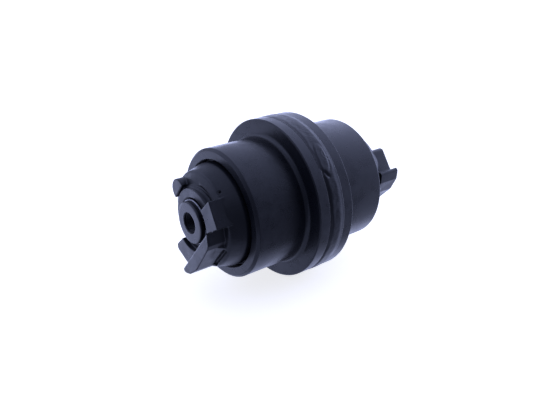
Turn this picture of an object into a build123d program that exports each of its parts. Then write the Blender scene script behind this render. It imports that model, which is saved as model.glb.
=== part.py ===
from build123d import *
import os
from math import cos, radians, sin, tan

os.makedirs("parts", exist_ok=True)

# Centre-flange track roller for a mini excavator.
# Frame: +Z up, the roller's axis along Y, origin at the roller's centre. Millimetres.
# "left" is the -Y end (side -1) and "right" is the +Y end (side 1).
# A "distance" is measured along the axle from the roller's centre.

# ---------------------------------------------------------------- half shells
flange_radius = 75.0
flange_half_width = 19.0
flange_root_fillet = 4.0
rim_chamfer = 0.9
tread_radius = 59.0
tread_end_chamfer = 2.0
body_half_length = 72.5
recess_radius = 49.0
recess_floor = 64.5
recess_chamfer = 0.8
reservoir_radius = 33.0
reservoir_half_length = 16.0
reservoir_fillet = 3.0

# weld groove between the two flange rims, and the bead that fills it
groove_root_radius = 66.0
groove_root_half_width = 2.0
groove_mouth_half_width = 7.0
bead_edge_drop = 2.6
bead_crown_drop = 1.0

# ---------------------------------------------------------------- bushes
running_clearance = 0.05
bush_radius = 22.5
bush_inner_end = 19.0
bush_flange_radius = 28.0
bush_flange_thickness = 3.0
bush_edge_chamfer = 0.5
thrust_face = 51.0
thrust_play = 0.3

# ---------------------------------------------------------------- face seals
seal_plane = 66.0
seal_face_gap = 0.1
seal_face_width = 2.4
seal_face_inner_radius = 29.6
seal_face_outer_radius = 32.6
seal_ring_length = 9.0
seal_ring_bore = 25.5
seal_seat_radius = 29.4
housing_radius = 36.0
housing_depth = 9.5
cone_angle = 9.0

# ---------------------------------------------------------------- shaft
shaft_radius = 19.0
shaft_half_length = 102.2
shaft_end_chamfer = 0.8
tap_radius = 9.188
tap_depth = 38.0
tap_mouth_radius = 9.8
drill_point_angle = 118.0
gallery_radius = 3.0
port_radius = 2.5
plug_radius = 5.0
plug_length = 8.0
plug_depth = 40.7
plug_socket_width = 5.0
plug_socket_depth = 4.5

# ---------------------------------------------------------------- end collars
collar_bore = 19.03
spigot_radius = 24.2
disc_face = 67.5
disc_radius = 47.0
disc_chamfer = 0.8
flank_foot = 75.0
flank_top_radius = 43.0
shoulder_outer = 89.4
shoulder_inner = 92.4
shoulder_fillet = 3.0
hub_foot_radius = 31.3
hub_ledge = 94.3
hub_ledge_outer = 31.0
hub_ledge_inner = 29.8
hub_radius = 29.6
hub_face = 96.8
hub_fillet = 0.5
mouth_radius = 21.9
mouth_depth = 1.8

# Lugs: outlines in the plane square to the axle, as (across, along) the bar lug.
bar_direction = -40.0
lug_root = 84.0
pad_face = 101.3
pad_inner_radius = 26.3
upper_pad = [(1.7, 20.0), (4.1, 44.1), (26.5, 35.6), (18.2, 11.5)]
lower_pad = [(2.2, -20.0), (-0.8, -45.0), (25.0, -38.0), (25.0, -12.0)]
lower_pad_fillet = 4.0
bar_face = 107.3
bar_inner = 24.2
bar_top = [(34.0, 15.5), (32.4, 20.2), (bar_inner, 27.7)]
bar_tip = [(bar_inner, -40.6), (28.0, -40.0), (33.2, -33.0), (36.4, -18.5)]
bar_tip_fillet = 1.8
foot_inner = 32.0
foot_top = 98.0
foot_outer = 37.4
foot_bottom = 90.0
slot_inner = 36.4
slot_width = 2.8
slot_floor = 88.6
slot_length = 29.0
slot_centre = -2.0
horn_face = 97.6
horn_centre = -32.4
horn_radius = 10.4
horn_inner = -31.0

# ---------------------------------------------------------------- small parts
oring_distance = 82.0
oring_groove_depth = 2.4
oring_groove_width = 3.6
pin_distance = 87.6
pin_radius = 1.5
pin_bore_radius = 0.8
pin_slot_width = 0.5
pin_angle = 91.5
pin_inner_end = 13.5
pin_outer_end = 42.8
wire_radius = 1.0
wire_ring_radius = 19.3
wire_ring_distance = 97.2
wire_ring_gap_angle = 26.0

sides = {"left": -1, "right": 1}
across = Vector(cos(radians(bar_direction)), 0, sin(radians(bar_direction)))
along = Vector(-sin(radians(bar_direction)), 0, cos(radians(bar_direction)))
collar_flip = Axis((0, 0, 0), across)


# ================================================================ helpers
def save(piece, name):
    piece.part.label = name
    export_step(piece.part, f"parts/{name}.step")


def section(points, side):
    """Half section of a turned piece, from (radius, distance) points."""
    with BuildSketch(Plane.XY) as profile:
        with BuildLine():
            Polyline([(radius, side * distance) for radius, distance in points], close=True)
        make_face()
    return profile.sketch


def wire_section(radius, distance, wire):
    """Round section of a ring that goes round the axle."""
    with BuildSketch(Plane.XY) as profile:
        with Locations((radius, distance)):
            Circle(wire)
    return profile.sketch


def circles(piece, radius, distance):
    """The circular edges of a turned piece at one radius and one distance."""
    return piece.edges().filter_by(
        lambda edge: edge.geom_type == GeomType.CIRCLE
        and abs(edge.radius - radius) < 0.01
        and abs(abs(edge.arc_center.Y) - distance) < 0.01
    )


def groove_half_width(radius):
    """Half the width of the weld groove at one radius."""
    slope = (groove_mouth_half_width - groove_root_half_width) / (flange_radius - groove_root_radius)
    return groove_root_half_width + slope * (radius - groove_root_radius)


def cone_drop(depth):
    """How much a seal cone narrows over a depth."""
    return depth * tan(radians(cone_angle))


def cross_plane(distance):
    """Plane square to the axle at the left end, facing outwards: x across the bar lug, y along it."""
    return Plane(origin=(0, -distance, 0), x_dir=across, z_dir=(0, -1, 0))


def pin_plane(side, radius):
    """Plane square to a lock pin, at one radius, facing outwards."""
    angle = radians(bar_direction - side * pin_angle)
    outwards = Vector(cos(angle), 0, sin(angle))
    origin = outwards * radius + Vector(0, side * pin_distance, 0)
    return Plane(origin=origin, x_dir=(0, 1, 0), z_dir=outwards)


# ================================================================ roller body
def shell_half(side):
    with BuildPart() as shell:
        outline = [
            (reservoir_radius, 0),
            (groove_root_radius, 0),
            (groove_root_radius, groove_root_half_width),
            (flange_radius, groove_mouth_half_width),
            (flange_radius, flange_half_width),
            (tread_radius, flange_half_width),
            (tread_radius, body_half_length),
            (recess_radius, body_half_length),
            (recess_radius, recess_floor),
            (housing_radius, recess_floor),
            (housing_radius - cone_drop(housing_depth), recess_floor - housing_depth),
            (bush_flange_radius, recess_floor - housing_depth),
            (bush_flange_radius, thrust_face - bush_flange_thickness),
            (bush_radius, thrust_face - bush_flange_thickness),
            (bush_radius, reservoir_half_length),
            (reservoir_radius, reservoir_half_length),
        ]
        revolve(section(outline, side), axis=Axis.Y)
        fillet(circles(shell, tread_radius, flange_half_width), flange_root_fillet)
        fillet(circles(shell, reservoir_radius, reservoir_half_length), reservoir_fillet)
        chamfer(circles(shell, tread_radius, body_half_length), tread_end_chamfer)
        chamfer(circles(shell, recess_radius, body_half_length), recess_chamfer)
        chamfer(circles(shell, flange_radius, flange_half_width), rim_chamfer)
        chamfer(circles(shell, flange_radius, groove_mouth_half_width), rim_chamfer)
    return shell


def bush(side):
    bore = shaft_radius + running_clearance
    flange_back = thrust_face - bush_flange_thickness
    with BuildPart() as piece:
        outline = [
            (bore, bush_inner_end),
            (bush_radius, bush_inner_end),
            (bush_radius, flange_back),
            (bush_flange_radius, flange_back),
            (bush_flange_radius, thrust_face),
            (bore, thrust_face),
        ]
        revolve(section(outline, side), axis=Axis.Y)
        chamfer(circles(piece, bush_flange_radius, thrust_face), bush_edge_chamfer)
        chamfer(circles(piece, bore, thrust_face), bush_edge_chamfer)
        chamfer(circles(piece, bore, bush_inner_end), bush_edge_chamfer)
    return piece


for end, side in sides.items():
    save(shell_half(side), f"shell_half_{end}")
    save(bush(side), f"bush_{end}")

with BuildPart() as weld_bead:
    edge_radius = flange_radius - bead_edge_drop
    edge_half_width = groove_half_width(edge_radius)
    with BuildSketch(Plane.XY):
        with BuildLine():
            Polyline(
                (edge_radius, edge_half_width),
                (groove_root_radius, groove_root_half_width),
                (groove_root_radius, -groove_root_half_width),
                (edge_radius, -edge_half_width),
            )
            ThreePointArc(
                (edge_radius, -edge_half_width),
                (flange_radius - bead_crown_drop, 0),
                (edge_radius, edge_half_width),
            )
        make_face()
    revolve(axis=Axis.Y)
save(weld_bead, "weld_bead")


# ================================================================ face seals
# A seal is two equal rings face to face, each held by a rubber toric ring in a cone.
# "outward" is -1 for the ring that turns with the shell and 1 for the ring held by the collar.
def seal_ring(side, outward):
    face = seal_plane + outward * seal_face_gap / 2
    flange_back = seal_plane + outward * seal_face_width
    back = seal_plane + outward * seal_ring_length
    with BuildPart() as ring:
        outline = [
            (seal_ring_bore, flange_back),
            (seal_face_inner_radius, face),
            (seal_face_outer_radius, face),
            (seal_face_outer_radius, flange_back),
            (seal_seat_radius, flange_back),
            (seal_seat_radius - cone_drop(seal_ring_length - seal_face_width), back),
            (seal_ring_bore, back),
        ]
        revolve(section(outline, side), axis=Axis.Y)
    return ring


def toric_ring(side, outward):
    mouth = seal_plane - recess_floor
    centre = mouth + housing_depth / 2
    seat_radius = seal_seat_radius - cone_drop(centre - seal_face_width)
    cone_radius = housing_radius - cone_drop(centre - mouth)
    wire = (cone_radius - seat_radius) / 2 * cos(radians(cone_angle))
    with BuildPart() as ring:
        distance = side * (seal_plane + outward * centre)
        revolve(wire_section((seat_radius + cone_radius) / 2, distance, wire), axis=Axis.Y)
    return ring


for end, side in sides.items():
    save(seal_ring(side, -1), f"seal_ring_rotating_{end}")
    save(seal_ring(side, 1), f"seal_ring_fixed_{end}")
    save(toric_ring(side, -1), f"toric_ring_shell_{end}")
    save(toric_ring(side, 1), f"toric_ring_collar_{end}")


# ================================================================ shaft
def tapped_hole(side):
    """Section of a tapped hole at its minor diameter, with its mouth and the drill's cone."""
    mouth = shaft_half_length - (tap_mouth_radius - tap_radius)
    floor = shaft_half_length - tap_depth
    tip = floor - tap_radius / tan(radians(drill_point_angle / 2))
    outline = [
        (0, shaft_half_length + 1),
        (tap_mouth_radius + 1, shaft_half_length + 1),
        (tap_radius, mouth),
        (tap_radius, floor),
        (0, tip),
    ]
    return section(outline, side)


def oring_groove(side):
    floor = shaft_radius - oring_groove_depth
    near_wall = oring_distance - oring_groove_width / 2
    far_wall = oring_distance + oring_groove_width / 2
    outline = [
        (floor, near_wall),
        (floor, far_wall),
        (shaft_radius + 1, far_wall),
        (shaft_radius + 1, near_wall),
    ]
    return section(outline, side)


plug_end = shaft_half_length - plug_depth - plug_length
with BuildPart() as shaft:
    with BuildSketch(Plane.XZ):
        Circle(shaft_radius)
    extrude(amount=shaft_half_length, both=True)
    chamfer(shaft.edges().filter_by(GeomType.CIRCLE), shaft_end_chamfer)
    for side in sides.values():
        revolve(tapped_hole(side), axis=Axis.Y, mode=Mode.SUBTRACT)
        revolve(oring_groove(side), axis=Axis.Y, mode=Mode.SUBTRACT)
        ring_groove = wire_section(wire_ring_radius, side * wire_ring_distance, wire_radius)
        revolve(ring_groove, axis=Axis.Y, mode=Mode.SUBTRACT)
        with BuildSketch(pin_plane(side, pin_inner_end)):
            Circle(pin_radius)
        extrude(amount=shaft_radius, mode=Mode.SUBTRACT)
    # filler hole from the left end, and the port that lets oil out between the bushes
    with BuildSketch(Plane.XZ.offset(plug_end)):
        Circle(plug_radius)
    extrude(amount=plug_length, mode=Mode.SUBTRACT)
    with BuildSketch(Plane.XZ.offset(plug_end)):
        Circle(gallery_radius)
    extrude(amount=-plug_end - gallery_radius, mode=Mode.SUBTRACT)
    with BuildSketch(Plane.XY):
        Circle(port_radius)
    extrude(amount=shaft_radius + 1, mode=Mode.SUBTRACT)
save(shaft, "shaft")

with BuildPart() as oil_plug:
    with BuildSketch(Plane.XZ.offset(plug_end)):
        Circle(plug_radius)
    extrude(amount=plug_length)
    with BuildSketch(Plane.XZ.offset(plug_end + plug_length)):
        RegularPolygon(plug_socket_width / 2, 6, major_radius=False)
    extrude(amount=-plug_socket_depth, mode=Mode.SUBTRACT)
save(oil_plug, "oil_plug")


# ================================================================ end collars
housing_floor = disc_face + housing_depth
with BuildPart() as collar_left:
    collar_outline = [
        (collar_bore, thrust_face + thrust_play),
        (spigot_radius, thrust_face + thrust_play),
        (spigot_radius, housing_floor),
        (housing_radius - cone_drop(housing_depth), housing_floor),
        (housing_radius, disc_face),
        (disc_radius, disc_face),
        (disc_radius, flank_foot),
        (flank_top_radius, shoulder_outer),
        (hub_foot_radius, shoulder_inner),
        (hub_ledge_outer, hub_ledge),
        (hub_ledge_inner, hub_ledge),
        (hub_radius, hub_face),
        (mouth_radius, hub_face),
        (collar_bore, hub_face - mouth_depth),
    ]
    revolve(section(collar_outline, -1), axis=Axis.Y)
    fillet(circles(collar_left, flank_top_radius, shoulder_outer), shoulder_fillet)
    fillet(circles(collar_left, hub_radius, hub_face), hub_fillet)
    chamfer(circles(collar_left, disc_radius, disc_face), disc_chamfer)

    # two pads, with inner sides round the shaft
    for corners, rounding in ((upper_pad, 0.4), (lower_pad, lower_pad_fillet)):
        with BuildSketch(cross_plane(pad_face)) as pad:
            Polygon(corners, align=None)
            fillet(pad.vertices().sort_by_distance(corners[1])[0], rounding)
            Circle(pad_inner_radius, mode=Mode.SUBTRACT)
        extrude(amount=-(pad_face - lug_root))

    # the bar lug, rounded at its tip, with a sloping foot along its outer wall
    with BuildSketch(cross_plane(bar_face)) as bar:
        Polygon(bar_top + bar_tip, align=None)
        fillet(bar.vertices().sort_by(Axis.Y)[:3], bar_tip_fillet)
    extrude(amount=-(bar_face - lug_root))
    with BuildSketch(Plane(origin=along * bar_top[0][1], x_dir=across, z_dir=-along)):
        Polygon(
            (foot_inner, foot_top),
            (bar_top[0][0], foot_top),
            (foot_outer, foot_bottom),
            (foot_outer, lug_root),
            (foot_inner, lug_root),
            align=None,
        )
    extrude(amount=bar_top[0][1] - bar_tip[-1][1])

    # half-round horn opposite the bar
    with BuildSketch(cross_plane(horn_face)):
        with Locations((horn_centre, 0)):
            Circle(horn_radius)
        with Locations((horn_inner, 0)):
            Rectangle(40, 40, align=(Align.MIN, Align.CENTER), mode=Mode.SUBTRACT)
    extrude(amount=-(horn_face - lug_root))

    # straight slot in the shoulder, along the foot of the bar
    with BuildSketch(cross_plane(slot_floor)):
        with Locations((slot_inner, slot_centre)):
            Rectangle(slot_width, slot_length, align=(Align.MIN, Align.CENTER))
    extrude(amount=bar_face - slot_floor, mode=Mode.SUBTRACT)

    # hole for the lock pin
    with BuildSketch(pin_plane(-1, 0)):
        Circle(pin_radius)
    extrude(amount=disc_radius, mode=Mode.SUBTRACT)
save(collar_left, "collar_left")

with BuildPart() as collar_right:
    add(collar_left.part.rotate(collar_flip, 180))
save(collar_right, "collar_right")


# ================================================================ small parts
def shaft_oring(side):
    wire = (collar_bore - shaft_radius + oring_groove_depth) / 2
    with BuildPart() as ring:
        revolve(wire_section(collar_bore - wire, side * oring_distance, wire), axis=Axis.Y)
    return ring


def lock_pin(side):
    """Slotted spring pin through the collar and into the shaft."""
    with BuildPart() as pin:
        with BuildSketch(pin_plane(side, pin_inner_end)):
            Circle(pin_radius)
            Circle(pin_bore_radius, mode=Mode.SUBTRACT)
            Rectangle(pin_radius, pin_slot_width, align=(Align.MIN, Align.CENTER), mode=Mode.SUBTRACT)
        extrude(amount=pin_outer_end - pin_inner_end)
    return pin


def retaining_ring(side):
    """Open ring of round wire, half sunk in the shaft."""
    with BuildPart() as ring:
        wire = wire_section(wire_ring_radius, side * wire_ring_distance, wire_radius)
        revolve(wire, axis=Axis.Y, revolution_arc=360 - wire_ring_gap_angle)
    return ring


for end, side in sides.items():
    save(shaft_oring(side), f"shaft_oring_{end}")
    save(lock_pin(side), f"lock_pin_{end}")
    save(retaining_ring(side), f"retaining_ring_{end}")
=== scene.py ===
from math import ceil, cos, exp, pi, radians, sin, tan

import bpy
import numpy as np
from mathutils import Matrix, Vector, noise


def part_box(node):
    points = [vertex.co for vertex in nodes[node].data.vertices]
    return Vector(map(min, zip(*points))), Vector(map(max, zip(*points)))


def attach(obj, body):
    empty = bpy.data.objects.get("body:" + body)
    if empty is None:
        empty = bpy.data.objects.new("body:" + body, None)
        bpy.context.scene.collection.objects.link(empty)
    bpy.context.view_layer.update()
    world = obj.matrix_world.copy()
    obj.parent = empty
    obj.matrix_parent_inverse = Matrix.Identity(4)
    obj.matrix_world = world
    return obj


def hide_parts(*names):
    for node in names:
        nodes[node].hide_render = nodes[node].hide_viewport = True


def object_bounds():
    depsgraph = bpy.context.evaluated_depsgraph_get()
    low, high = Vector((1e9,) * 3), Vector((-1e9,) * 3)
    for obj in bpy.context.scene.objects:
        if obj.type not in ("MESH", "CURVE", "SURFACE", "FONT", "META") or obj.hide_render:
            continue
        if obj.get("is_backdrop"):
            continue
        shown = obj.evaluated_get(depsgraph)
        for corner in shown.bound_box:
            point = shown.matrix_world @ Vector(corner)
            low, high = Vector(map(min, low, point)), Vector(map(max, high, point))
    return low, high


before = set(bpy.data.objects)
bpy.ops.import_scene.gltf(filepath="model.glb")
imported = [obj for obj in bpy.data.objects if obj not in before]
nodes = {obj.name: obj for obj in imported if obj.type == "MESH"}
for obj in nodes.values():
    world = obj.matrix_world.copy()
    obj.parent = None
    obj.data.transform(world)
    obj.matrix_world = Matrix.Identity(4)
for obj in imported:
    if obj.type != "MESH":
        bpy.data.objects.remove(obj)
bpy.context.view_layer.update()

# Centre-flange track roller: two turned shell halves joined by a weld bead, a shaft,
# and a forged collar with lugs at each end. All of it was painted once assembled.
# The roller's axis is Y. Its sizes are in millimetres here, and those of the floor and camera in metres.

MM = 0.001


# ================================================================ sizes from the frame
rim_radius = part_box("shell_half_left")[1].x / MM
body_half_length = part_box("shell_half_right")[1].y / MM
shaft_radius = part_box("shaft")[1].x / MM
shaft_half_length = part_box("shaft")[1].y / MM


# ================================================================ material nodes
class Graph:
    """Short calls for building one material's or the world's nodes."""

    def __init__(self, owner, shader, place):
        owner.use_nodes = True
        self.owner = owner
        self.tree = owner.node_tree
        self.shader = self.tree.nodes[shader]
        self.place = self.node("ShaderNodeTexCoord").outputs[place]

    def node(self, kind, **settings):
        made = self.tree.nodes.new(kind)
        for key, value in settings.items():
            setattr(made, key, value)
        return made

    def feed(self, socket, value):
        if isinstance(value, bpy.types.NodeSocket):
            self.tree.links.new(value, socket)
        else:
            socket.default_value = value

    def math(self, operation, first, second=0.0):
        made = self.node("ShaderNodeMath", operation=operation)
        self.feed(made.inputs[0], first)
        self.feed(made.inputs[1], second)
        return made.outputs[0]

    def noise(self, scale, detail=3.0, roughness=0.5, place=None):
        made = self.node("ShaderNodeTexNoise")
        self.feed(made.inputs["Vector"], place or self.place)
        self.feed(made.inputs["Scale"], scale)
        self.feed(made.inputs["Detail"], detail)
        self.feed(made.inputs["Roughness"], roughness)
        return made.outputs["Fac"]

    def spread(self, value, low, high, to_low=0.0, to_high=1.0):
        made = self.node("ShaderNodeMapRange")
        for socket, given in zip(made.inputs, (value, low, high, to_low, to_high)):
            self.feed(socket, given)
        return made.outputs["Result"]

    def tint(self, share, first, second):
        made = self.node("ShaderNodeMix", data_type="RGBA")
        self.feed(made.inputs["Factor"], share)
        self.feed(made.inputs["A"], (*first, 1.0))
        self.feed(made.inputs["B"], (*second, 1.0))
        return made.outputs["Result"]

    def turning_marks(self, per_metre, detail):
        """Noise over the radius and the distance along the axis, which makes marks that go round."""
        split = self.node("ShaderNodeSeparateXYZ")
        self.feed(split.inputs[0], self.place)
        across = self.math("MULTIPLY", split.outputs["X"], split.outputs["X"])
        up = self.math("MULTIPLY", split.outputs["Z"], split.outputs["Z"])
        radius = self.math("SQRT", self.math("ADD", across, up))
        joined = self.node("ShaderNodeCombineXYZ")
        self.feed(joined.inputs["X"], radius)
        self.feed(joined.inputs["Y"], split.outputs["Y"])
        stretched = self.node("ShaderNodeVectorMath", operation="MULTIPLY")
        self.feed(stretched.inputs[0], joined.outputs[0])
        stretched.inputs[1].default_value = (per_metre, per_metre, 0.0)
        return self.noise(1.0, detail, 0.7, place=stretched.outputs[0])

    def bump(self, height, distance, under=None):
        made = self.node("ShaderNodeBump")
        self.feed(made.inputs["Height"], height)
        made.inputs["Distance"].default_value = distance
        made.inputs["Strength"].default_value = 1.0
        if under is not None:
            self.feed(made.inputs["Normal"], under)
        return made.outputs["Normal"]


def new_graph(name):
    return Graph(bpy.data.materials.new(name), "Principled BSDF", "Object")


navy = (0.0045, 0.0052, 0.0080)
navy_light = (0.0075, 0.0085, 0.0125)
sheen_blue = (0.90, 0.93, 1.0, 1.0)

# noise scales, in repeats per metre
cloud_scale = 38.0
grain_scale = 2600.0
smudge_scale = 90.0
dent_scale = 130.0
paint_turning_scale = 3600.0
metal_turning_scale = 3000.0


def painted(name, gloss, skin_height, skin_scale=900.0, turned=0.0, dents=0.0):
    """Satin blue-black paint, with what shows of the metal's surface under it.

    Gloss is a roughness. Heights of the skin, turning marks and dents are in mm."""
    g = new_graph(name)
    cloud = g.noise(cloud_scale, 4.0, 0.6)
    grain = g.noise(grain_scale, 2.0, 0.6)
    mixed = g.math("ADD", g.math("MULTIPLY", cloud, 0.7), g.math("MULTIPLY", grain, 0.3))
    base = g.tint(g.spread(mixed, 0.35, 0.65), navy, navy_light)
    g.feed(g.shader.inputs["Base Color"], base)
    smudge = g.noise(smudge_scale, 3.0, 0.55)
    rough = g.spread(smudge, 0.3, 0.7, gloss - 0.06, gloss + 0.08)
    g.feed(g.shader.inputs["Roughness"], rough)
    g.shader.inputs["IOR"].default_value = 1.5
    g.shader.inputs["Specular Tint"].default_value = sheen_blue
    normal = g.bump(g.noise(skin_scale, 3.0, 0.6), skin_height * MM)
    if turned:
        normal = g.bump(g.turning_marks(paint_turning_scale, 4.0), turned * MM, under=normal)
    if dents:
        normal = g.bump(g.noise(dent_scale, 4.0, 0.5), dents * MM, under=normal)
    g.feed(g.shader.inputs["Normal"], normal)
    return g.owner


def bare(name, low, high, gloss, metallic, scale, height, turned=0.0):
    """Bare or worn metal, or rubber, mottled between two colours. Heights are in mm."""
    g = new_graph(name)
    g.feed(g.shader.inputs["Base Color"], g.tint(g.noise(scale, 4.0, 0.6), low, high))
    rough = g.spread(g.noise(scale * 3, 3.0), 0.3, 0.7, gloss - 0.07, gloss + 0.07)
    g.feed(g.shader.inputs["Roughness"], rough)
    g.shader.inputs["Metallic"].default_value = metallic
    normal = g.bump(g.noise(scale * 6, 3.0), height * MM)
    if turned:
        normal = g.bump(g.turning_marks(metal_turning_scale, 3.0), turned * MM, under=normal)
    g.feed(g.shader.inputs["Normal"], normal)
    return g.owner


turned_paint = painted("turned_paint", gloss=0.29, skin_height=0.006, turned=0.01)
weld_paint = painted("weld_paint", gloss=0.33, skin_height=0.03, dents=0.05)
forged_paint = painted("forged_paint", gloss=0.33, skin_height=0.05, skin_scale=700.0, dents=0.06)
shaft_paint = painted("shaft_paint", gloss=0.29, skin_height=0.015, turned=0.015)
worn_wire = bare(
    "worn_wire", low=(0.02, 0.022, 0.03), high=(0.42, 0.43, 0.47), gloss=0.27, metallic=1.0,
    scale=330.0, height=0.01,
)
bronze = bare(
    "bronze", low=(0.42, 0.25, 0.10), high=(0.60, 0.38, 0.17), gloss=0.33, metallic=1.0,
    scale=160.0, height=0.01, turned=0.02,
)
seal_iron = bare(
    "seal_iron", low=(0.16, 0.16, 0.165), high=(0.28, 0.28, 0.285), gloss=0.30, metallic=1.0,
    scale=220.0, height=0.01, turned=0.01,
)
rubber = bare(
    "rubber", low=(0.012, 0.012, 0.013), high=(0.025, 0.025, 0.026), gloss=0.62, metallic=0.0,
    scale=240.0, height=0.02,
)
plug_steel = bare(
    "plug_steel", low=(0.42, 0.42, 0.43), high=(0.60, 0.60, 0.60), gloss=0.34, metallic=1.0,
    scale=200.0, height=0.01,
)


# ================================================================ mesh helpers
def finish_piece(piece, material, body, slot, *replaced):
    """Paint a piece, let it ride on a body and let it stand for a CAD node."""
    piece.data.materials.clear()
    piece.data.materials.append(material)
    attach(piece, body)
    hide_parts(*replaced)


def make_piece(name, points, faces, material, body, slot, replaced):
    """A smooth-shaded piece made from points and faces."""
    mesh = bpy.data.meshes.new(name)
    mesh.from_pydata(points, [], faces)
    mesh.validate()
    mesh.shade_smooth()
    piece = bpy.data.objects.new(name, mesh)
    bpy.context.scene.collection.objects.link(piece)
    finish_piece(piece, material, body, slot, replaced)


def around(radius, distance, angle):
    """Point at a radius and a distance along the axis, both in mm, in metres."""
    return (radius * cos(angle) * MM, distance * MM, radius * sin(angle) * MM)


def smooth_step(value, low, high):
    share = min(1, max(0, (value - low) / (high - low)))
    return share * share * (3 - 2 * share)


def hump(value, centre, width):
    return exp(-((value - centre) / width) ** 2)


def rounded_outline(corners):
    """Closed outline through (radius, distance, rounding) corners, in mm.

    Each corner becomes an arc, and straight runs get points close to each end, so that
    smooth shading stays flat between the arcs."""
    longest_run = 2.5
    longest_support = 0.35
    outline = []
    arcs = []
    count = len(corners)
    for i, (x, y, rounding) in enumerate(corners):
        before = Vector(corners[i - 1][:2]) - Vector((x, y))
        after = Vector(corners[(i + 1) % count][:2]) - Vector((x, y))
        half = before.angle(after) / 2
        reach = rounding / tan(half)
        start = Vector((x, y)) + before.normalized() * reach
        end = Vector((x, y)) + after.normalized() * reach
        middle = (before.normalized() + after.normalized()).normalized()
        centre = Vector((x, y)) + middle * rounding / sin(half)
        first = start - centre
        last = end - centre
        sweep = pi - 2 * half
        turn = 1 if first.x * last.y - first.y * last.x > 0 else -1
        steps = 5 if rounding < 2 else 10
        arcs.append([
            centre + Vector((
                first.x * cos(turn * sweep * k / steps) - first.y * sin(turn * sweep * k / steps),
                first.x * sin(turn * sweep * k / steps) + first.y * cos(turn * sweep * k / steps),
            ))
            for k in range(steps + 1)
        ])
    for i, arc in enumerate(arcs):
        outline += arc
        start, end = arc[-1], arcs[(i + 1) % count][0]
        run = (end - start).length
        support = min(longest_support, run / 4)
        outline.append(start.lerp(end, support / run))
        pieces = max(1, ceil((run - 2 * support) / longest_run))
        for k in range(1, pieces):
            outline.append(start.lerp(end, (support + (run - 2 * support) * k / pieces) / run))
        outline.append(start.lerp(end, 1 - support / run))
    return [(p.x, p.y) for p in outline]


def turned_mesh(outline_at, segments):
    """Points and faces of a closed outline turned all the way round the Y axis.

    outline_at gives the outline at an angle, as (radius, distance) in mm."""
    points = []
    for j in range(segments):
        angle = 2 * pi * j / segments
        outline = outline_at(angle)
        points += [around(radius, distance, angle) for radius, distance in outline]
    count = len(outline)
    faces = []
    for j in range(segments):
        here, there = j * count, (j + 1) % segments * count
        for i in range(count):
            k = (i + 1) % count
            faces.append((here + i, here + k, there + k, there + i))
    return points, faces


def reversed_faces(faces):
    return [face[::-1] for face in faces]


# ================================================================ roller shell halves
shell_segments = 288
flange_half_width = 19.0
flange_fillet = 4.0
flange_chamfer = 0.8
tread_radius = 59.0
tread_chamfer = 2.2
recess_radius = 49.0
recess_floor = 64.5
recess_chamfer = 0.8
housing_mouth_radius = 36.0
housing_floor_radius = 34.5
housing_floor = 55.0
bush_radius = 22.5
bush_flange_radius = 28.0
bush_flange_seat = 48.0
reservoir_radius = 33.0
reservoir_half_length = 16.0
reservoir_fillet = 3.0
groove_mouth = 7.0
groove_chamfer = 0.9
groove_root_radius = 66.0
groove_root_half_width = 2.0
paint_unevenness = 0.03


def shell_outline(side):
    """The machined shell half, with its edges rounded as paint and deburring leave them."""
    corners = [
        (reservoir_radius, 0.0, 0.1),
        (reservoir_radius, reservoir_half_length, reservoir_fillet),
        (bush_radius, reservoir_half_length, 0.2),
        (bush_radius, bush_flange_seat, 0.2),
        (bush_flange_radius, bush_flange_seat, 0.2),
        (bush_flange_radius, housing_floor, 0.3),
        (housing_floor_radius, housing_floor, 0.3),
        (housing_mouth_radius, recess_floor, 0.5),
        (recess_radius, recess_floor, 0.8),
        (recess_radius, body_half_length - recess_chamfer, 0.3),
        (recess_radius + recess_chamfer, body_half_length, 0.4),
        (tread_radius - tread_chamfer, body_half_length, 0.7),
        (tread_radius, body_half_length - tread_chamfer, 0.9),
        (tread_radius, flange_half_width, flange_fillet),
        (rim_radius - flange_chamfer, flange_half_width, 0.35),
        (rim_radius, flange_half_width - flange_chamfer, 0.35),
        (rim_radius, groove_mouth + groove_chamfer, 0.4),
        (rim_radius - groove_chamfer, groove_mouth, 0.4),
        (groove_root_radius, groove_root_half_width, 0.3),
        (groove_root_radius, 0.0, 0.1),
    ]
    return rounded_outline([(radius, side * distance, rounding) for radius, distance, rounding in corners])


def uneven_shell(side):
    """The outline at any angle, with a few hundredths of a millimetre of unevenness in the paint."""
    even = shell_outline(side)

    def outline_at(angle):
        return [
            (radius + paint_unevenness * noise.noise(Vector(around(radius, distance, angle)) * 50), distance)
            for radius, distance in even
        ]

    return outline_at


for end, side in (("left", -1), ("right", 1)):
    points, faces = turned_mesh(uneven_shell(side), shell_segments)
    if side < 0:
        faces = reversed_faces(faces)
    make_piece(f"shell_{end}", points, faces, turned_paint, "roller", "painted_steel", f"shell_half_{end}")


# ================================================================ weld bead
# It stands a little proud of the rims, and is undercut beside the left one for most of the way round.
# The weld ends on its own start, with a long lump that stops in a crater. Distances along the bead are
# arcs at the rims, and angles are in degrees.
bead_segments = 1080
bead_steps = 36
bead_toe = 8.4
toe_start = 7.4
toe_height = 0.05
bead_root_radius = 66.5
bead_root_half_width = 2.2
bead_height = 0.42
bead_crest = 4.8
bead_shoulder = -4.6
undercut_distance = -6.4
undercut_width = 1.35
undercut_depth = 1.45
undercut_toe_drop = 1.8
ripple_height = 0.025
ripple_pitch = 2.2
lump_angle = 44.0
lump_height = 0.33
lump_half_length = 13.5
lump_half_width = 4.6
swirl_height = 0.06
swirl_pitch = 3.0
crater_angle = 32.5
crater_distance = -3.0
crater_depth = 1.2
crater_half_length = 3.6
crater_half_width = 1.3


def arc_from(angle, degrees_at):
    """Distance in mm along the rim from a place on it, at most half way round either way."""
    turn = (angle - radians(degrees_at) + pi) % (2 * pi) - pi
    return turn * rim_radius


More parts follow.
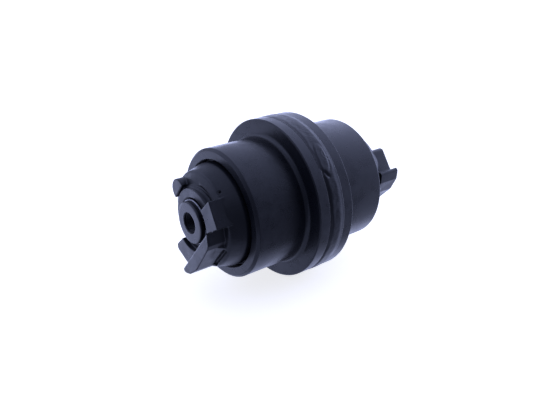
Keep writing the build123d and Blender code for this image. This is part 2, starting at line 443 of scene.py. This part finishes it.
def undercut_share(behind):
    """From 0 to 1: seen from the left end, the undercut runs clockwise from the crater."""
    if behind < 20:
        return smooth_step(-behind, -7.0, -1.0)
    return smooth_step(behind, 165.0, 190.0)


def lump(start, y, lumps, wide):
    """Height of the end lump, with the swirl of ripples at its right edge."""
    middle = -0.8 + 0.10 * start
    far = abs(start / lump_half_length) ** 3 + abs((y - middle) / lump_half_width) ** 3
    height = lump_height * (1 - smooth_step(far, 0.40, 1.35))
    ring = ((start - 2.5 + 1.5 * lumps) ** 2 + (y - 6.5 + 1.5 * wide) ** 2) ** 0.5
    return height + swirl_height * cos(2 * pi * ring / swirl_pitch) * hump(ring, 4.2, 2.6)


def crater(behind, y):
    """Depth of the crater, which slants across the bead."""
    lead = behind * 0.83 - (y - crater_distance) * 0.56
    aside = behind * 0.56 + (y - crater_distance) * 0.83
    return crater_depth * hump(aside, 0.2, crater_half_width) * exp(-(lead / crater_half_length) ** 4)


def bead_surface(angle, y):
    """Radius of the bead's surface in mm, at a distance y in mm from the roller's centre."""
    across, up = cos(angle), sin(angle)
    slow = noise.noise(Vector((across, up, 0)) * 3.1)
    wide = noise.noise(Vector((across * 9, up * 9, y * 0.12)))
    lumps = noise.noise(Vector((across * 22, up * 22, y * 0.3)))
    grit = noise.noise(Vector((across * 75, up * 75, y)))
    behind = arc_from(angle, crater_angle)
    cut = undercut_share(behind)
    # steepest at the left toe, with its crest nearer the right toe
    crest = bead_crest - 1.8 * cut + 0.5 * slow
    shoulder = bead_shoulder + 1.6 * wide
    rise = 0.62 * smooth_step(y, -bead_toe, shoulder) + 0.38 * smooth_step(y, shoulder, crest)
    fall = 1 - smooth_step(y, crest, bead_toe)
    radius = rim_radius + (bead_height - 0.06 * cut) * min(rise, fall)
    undercut = hump(y, undercut_distance + 0.7 * wide, undercut_width + 0.3 * slow)
    radius -= cut * (undercut_depth + 0.5 * slow) * undercut
    radius += (0.09 * wide + 0.06 * lumps + 0.022 * grit) * hump(y, 0, 7.0)
    # ripples, bowed back from the middle of the bead
    along = angle * rim_radius + 0.055 * y * y
    radius += ripple_height * sin(2 * pi * along / ripple_pitch + 2 * slow) * hump(y, 1.0, 4.5)
    radius += lump(arc_from(angle, lump_angle), y, lumps, wide)
    radius -= crater(behind, y)
    # both toes run out on the rims, apart from the undercut one, which stays below its rim
    toe = rim_radius + toe_height
    if y < 0:
        toe -= undercut_toe_drop * cut
    return radius + (toe - radius) * smooth_step(abs(y), toe_start, bead_toe)


def bead_outline(angle):
    surface = [-bead_toe + 2 * bead_toe * i / bead_steps for i in range(bead_steps + 1)]
    root = [(bead_root_radius, bead_root_half_width), (bead_root_radius, -bead_root_half_width)]
    return [(bead_surface(angle, y), y) for y in surface] + root


points, faces = turned_mesh(bead_outline, bead_segments)
make_piece("weld", points, reversed_faces(faces), weld_paint, "roller", "weld_metal", "weld_bead")


# ================================================================ forged collars
# The bore and the back face are machined, and the rest has the forging's waves. The horn is the
# half-round lug opposite a collar's bar, at the same angle at both ends, in degrees from +X towards +Z.
collar_voxel = 0.45
collar_faces_kept = 0.42
machined_bore_radius = 21.5
machined_back = 79.0
forging_waves = 0.12
forging_ripples = 0.06
horn_angle = 140
moat_depth = 2.5


def ramp(values, low, high):
    return np.clip((values - low) / (high - low), 0, 1)


def forging_wave(at):
    return forging_waves * noise.noise(at * 70) + forging_ripples * noise.noise(at * 210)


def moat(radii, depths, angles):
    """How far places on a collar sink, in mm.

    The ledge at the hub's foot lies in a moat turned deeper than the shoulder, and the forging's
    rise towards the horn fills the moat up."""
    from_horn = np.abs((angles - horn_angle + 180) % 360 - 180)
    share = (1 - ramp(radii, 32.2, 34.4)) * (1 - ramp(depths, 94.5, 96.4)) * ramp(from_horn, 42, 80)
    return moat_depth * share * (radii > 29.0) * (depths > 91.3)


def forged_collar(end):
    """The collar's CAD shape with the softened edges and slight waviness of a forging."""
    source = nodes[f"collar_{end}"]
    piece = bpy.data.objects.new(f"forging_{end}", source.data.copy())
    bpy.context.scene.collection.objects.link(piece)
    remesh = piece.modifiers.new("remesh", "REMESH")
    remesh.mode = "VOXEL"
    remesh.voxel_size = collar_voxel * MM
    remesh.use_smooth_shade = True
    smooth = piece.modifiers.new("smooth", "SMOOTH")
    smooth.factor = 0.5
    smooth.iterations = 3
    fewer = piece.modifiers.new("fewer", "DECIMATE")
    fewer.ratio = collar_faces_kept
    depsgraph = bpy.context.evaluated_depsgraph_get()
    mesh = bpy.data.meshes.new_from_object(piece.evaluated_get(depsgraph))
    piece.modifiers.clear()
    piece.data = mesh
    count = len(mesh.vertices)
    places = np.empty(count * 3)
    normals = np.empty(count * 3)
    mesh.vertices.foreach_get("co", places)
    mesh.vertex_normals.foreach_get("vector", normals)
    places = places.reshape(-1, 3)
    normals = normals.reshape(-1, 3)
    radii = np.hypot(places[:, 0], places[:, 2]) / MM
    forged = (radii > machined_bore_radius) & (np.abs(places[:, 1]) > machined_back * MM)
    for i in np.nonzero(forged)[0]:
        places[i] += normals[i] * forging_wave(Vector(places[i])) * MM
    angles = np.degrees(np.arctan2(places[:, 2], places[:, 0]))
    places[:, 1] -= np.sign(places[:, 1]) * moat(radii, np.abs(places[:, 1]) / MM, angles) * MM
    mesh.vertices.foreach_set("co", places.ravel())
    mesh.shade_smooth()
    finish_piece(piece, forged_paint, "axle", "painted_casting", f"collar_{end}")


for end in ("left", "right"):
    forged_collar(end)


# ================================================================ shaft
shaft_segments = 144
thread_pitch = 1.5
thread_minor = 9.188
thread_major = 10.0
rows_per_pitch = 8
hole_depth = 38.0
drill_point = 5.0
thread_start = 0.62
thread_length = hole_depth - 1.2
ring_groove_distance = 97.2
ring_groove_centre_radius = 19.3
ring_groove_radius = 1.0
seal_groove = (80.2, 83.8)
seal_groove_floor = 16.6


def thread(depth, angle):
    """Radius of the thread's surface, at a depth in the hole, fading out at both of its ends."""
    turns = depth / thread_pitch - angle / (2 * pi)
    tooth = abs(2 * (turns % 1) - 1)
    cut = min(1, max(0, (tooth - 0.12) / 0.70))
    fade = smooth_step(depth, 0.9, 2.0) * (1 - smooth_step(depth, hole_depth - 6, hole_depth - 3))
    return thread_minor + (thread_major - thread_minor) * cut * fade


def plain_ring(radius, distance):
    return [(radius, distance)] * shaft_segments


def hole_rings(side):
    """Rings of (radius, distance) from the drill point out to the face, for one tapped hole."""
    point = (
        (0.5, hole_depth + drill_point),
        (thread_minor - 0.1, hole_depth + 0.05),
        (thread_minor, hole_depth - 0.2),
    )
    mouth = ((thread_minor, 0.6), (9.7, 0.12), (9.8, 0.03), (9.95, 0.0))
    rings = [plain_ring(radius, side * (shaft_half_length - depth)) for radius, depth in point]
    steps = int(thread_length / thread_pitch * rows_per_pitch)
    for k in range(steps, 0, -1):
        depth = thread_start + thread_length * k / steps
        distance = side * (shaft_half_length - depth)
        angles = [side * 2 * pi * j / shaft_segments for j in range(shaft_segments)]
        rings.append([(thread(depth, angle), distance) for angle in angles])
    return rings + [plain_ring(radius, side * (shaft_half_length - depth)) for radius, depth in mouth]


def shaft_outline():
    """Outline of (radius, distance) from the right end face to near the shaft's middle."""
    half = shaft_half_length
    radius = shaft_radius
    face = [(10.4, half), (13.0, half), (16.0, half), (radius - 1.1, half)]
    chamfer = [
        (radius - 0.85, half - 0.03),
        (radius - 0.6, half - 0.15),
        (radius - 0.2, half - 0.6),
        (radius - 0.05, half - 0.85),
        (radius, half - 1.15),
        (radius, half - 1.6),
    ]
    groove = [(radius, ring_groove_distance + ring_groove_radius)]
    for k in range(1, 8):
        turn = pi * k / 8
        groove.append((
            ring_groove_centre_radius - ring_groove_radius * sin(turn),
            ring_groove_distance + ring_groove_radius * cos(turn),
        ))
    groove.append((radius, ring_groove_distance - ring_groove_radius))
    near, far = seal_groove
    seal = [
        (radius, 95.8),
        (radius, far + 0.2),
        (radius, far),
        (seal_groove_floor, far),
        (seal_groove_floor, near),
        (radius, near),
        (radius, near - 0.2),
    ]
    body = [(radius, distance) for distance in (60.0, 40.0, 20.0)]
    return face + chamfer + groove + seal + body


def shaft_mesh():
    """Shaft with its chamfered ends, ring grooves and tapped holes with real threads."""
    # from the point of the left hole out, along the outside, and into the right hole
    outline = shaft_outline()
    rings = hole_rings(-1)
    rings += [plain_ring(radius, -distance) for radius, distance in outline]
    rings.append(plain_ring(shaft_radius, 0.0))
    rings += [plain_ring(radius, distance) for radius, distance in outline[::-1]]
    rings += hole_rings(1)[::-1]

    points = [around(0, rings[0][0][1], 0)]
    for ring in rings:
        for j, (radius, distance) in enumerate(ring):
            points.append(around(radius, distance, 2 * pi * j / shaft_segments))
    points.append(around(0, rings[-1][0][1], 0))
    faces = []
    last = 1 + (len(rings) - 1) * shaft_segments
    for j in range(shaft_segments):
        k = (j + 1) % shaft_segments
        for here in range(1, last, shaft_segments):
            there = here + shaft_segments
            faces.append((here + j, here + k, there + k, there + j))
        faces.append((0, 1 + k, 1 + j))
        faces.append((len(points) - 1, last + j, last + k))
    return points, reversed_faces(faces)


points, faces = shaft_mesh()
make_piece("threaded_shaft", points, faces, shaft_paint, "axle", "painted_shaft", "shaft")


# ================================================================ CAD nodes that stay
finishes = {
    "bush": bronze,
    "seal_ring": seal_iron,
    "toric_ring": rubber,
    "shaft_oring": rubber,
    "lock_pin": shaft_paint,
    "retaining_ring": worn_wire,
    "oil_plug": plug_steel,
}
for name, node in nodes.items():
    for start, material in finishes.items():
        if name.startswith(start):
            node.data.materials.clear()
            node.data.materials.append(material)


# ================================================================ floor, light and camera
# Light of the studio by direction: a large soft panel behind the far end, a weaker one to the left,
# an overhead panel, two small low panels on the left, and what comes up from below and the floor. The
# front right is nearly unlit, so that black paint looks black there. Each lobe has an azimuth and
# elevation in degrees, the cosines of its outer and inner edge, and a strength.
light_lobes = {
    "far_end": (96, 1, 0.52, 0.86, 1.70),
    "left": (222, 26, 0.75, 0.86, 0.40),
    "overhead": (158, 63, -0.22, 1.27, 0.46),
    "below": (242, -68, 0.44, 0.52, 0.28),
    "left_low": (190, -24, 0.92, 1.00, 1.85),
    "far_left_low": (152, -14, 0.92, 1.00, 1.80),
    "floor": (150, -62, 0.72, 0.95, 0.28),
}
light_between = 0.13
cool_light = (0.88, 0.97, 1.50)


def direction(azimuth, elevation):
    level = cos(radians(elevation))
    return (level * cos(radians(azimuth)), level * sin(radians(azimuth)), sin(radians(elevation)))


def studio():
    g = Graph(bpy.data.worlds.new("studio"), "Background", "Generated")
    bpy.context.scene.world = g.owner
    total = light_between
    for azimuth, elevation, outer, inner, strength in light_lobes.values():
        facing = g.node("ShaderNodeVectorMath", operation="DOT_PRODUCT")
        g.feed(facing.inputs[0], g.place)
        facing.inputs[1].default_value = direction(azimuth, elevation)
        lobe = g.node("ShaderNodeMapRange", interpolation_type="SMOOTHSTEP")
        for socket, given in zip(lobe.inputs, (facing.outputs["Value"], outer, inner, 0.0, strength)):
            g.feed(socket, given)
        total = g.math("ADD", total, lobe.outputs["Result"])
    g.shader.inputs["Color"].default_value = (*cool_light, 1.0)
    g.feed(g.shader.inputs["Strength"], total)


def floor():
    """Pale floor that curves up into a wall all round, kept out of the paint's reflections."""
    segments, cove_steps = 96, 12
    flat_radius, wall_radius, wall_height = 5.0, 9.0, 8.0
    g = new_graph("pale_floor")
    cloud = g.noise(6.0, 3.0)
    g.feed(g.shader.inputs["Base Color"], g.tint(cloud, (0.86, 0.86, 0.87), (0.90, 0.90, 0.90)))
    g.feed(g.shader.inputs["Roughness"], g.spread(cloud, 0.3, 0.7, 0.75, 0.9))
    g.shader.inputs["Emission Color"].default_value = (1.0, 1.0, 1.0, 1.0)
    g.shader.inputs["Emission Strength"].default_value = 0.75
    g.owner.cycles.emission_sampling = "NONE"
    profile = [(flat_radius, 0.0)]
    reach = wall_radius - flat_radius
    for k in range(1, cove_steps + 1):
        turn = pi / 2 * k / cove_steps
        profile.append((flat_radius + reach * sin(turn), reach * (1 - cos(turn))))
    profile.append((wall_radius, wall_height))
    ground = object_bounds()[0].z
    points = [(0.0, 0.0, ground)]
    for radius, height in profile:
        for j in range(segments):
            angle = 2 * pi * j / segments
            points.append((radius * cos(angle), radius * sin(angle), ground + height))
    faces = [(0, 1 + j, 1 + (j + 1) % segments) for j in range(segments)]
    for r in range(len(profile) - 1):
        here, there = 1 + r * segments, 1 + (r + 1) * segments
        for j in range(segments):
            k = (j + 1) % segments
            faces.append((here + j, there + j, there + k, here + k))
    mesh = bpy.data.meshes.new("floor")
    mesh.from_pydata(points, [], faces)
    mesh.shade_smooth()
    cove = bpy.data.objects.new("floor", mesh)
    bpy.context.scene.collection.objects.link(cove)
    mesh.materials.append(g.owner)
    cove.visible_glossy = False
    cove.visible_diffuse = False
    cove.visible_shadow = False
    cove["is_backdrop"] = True


floor()
studio()

# The camera looks straight at the roller from the photo's side, and is then shifted without turning.
camera_azimuth = radians(51.77)
camera_elevation = radians(24.02)
camera_distance = 0.5770
shift_right = -0.00276
shift_up = -0.00590
level = cos(camera_elevation)
back = Vector((sin(camera_azimuth) * level, -cos(camera_azimuth) * level, sin(camera_elevation)))
right = Vector((0, 0, 1)).cross(back).normalized()
up = back.cross(right)
lens = bpy.data.cameras.new("camera")
lens.sensor_width = 36.0
lens.lens = 39.04
lens.clip_start = 0.01
camera = bpy.data.objects.new("camera", lens)
camera.location = back * camera_distance + right * shift_right + up * shift_up
camera.rotation_euler = back.to_track_quat("Z", "Y").to_euler()
bpy.context.scene.collection.objects.link(camera)
bpy.context.scene.camera = camera
bpy.context.scene.view_settings.view_transform = "Standard"
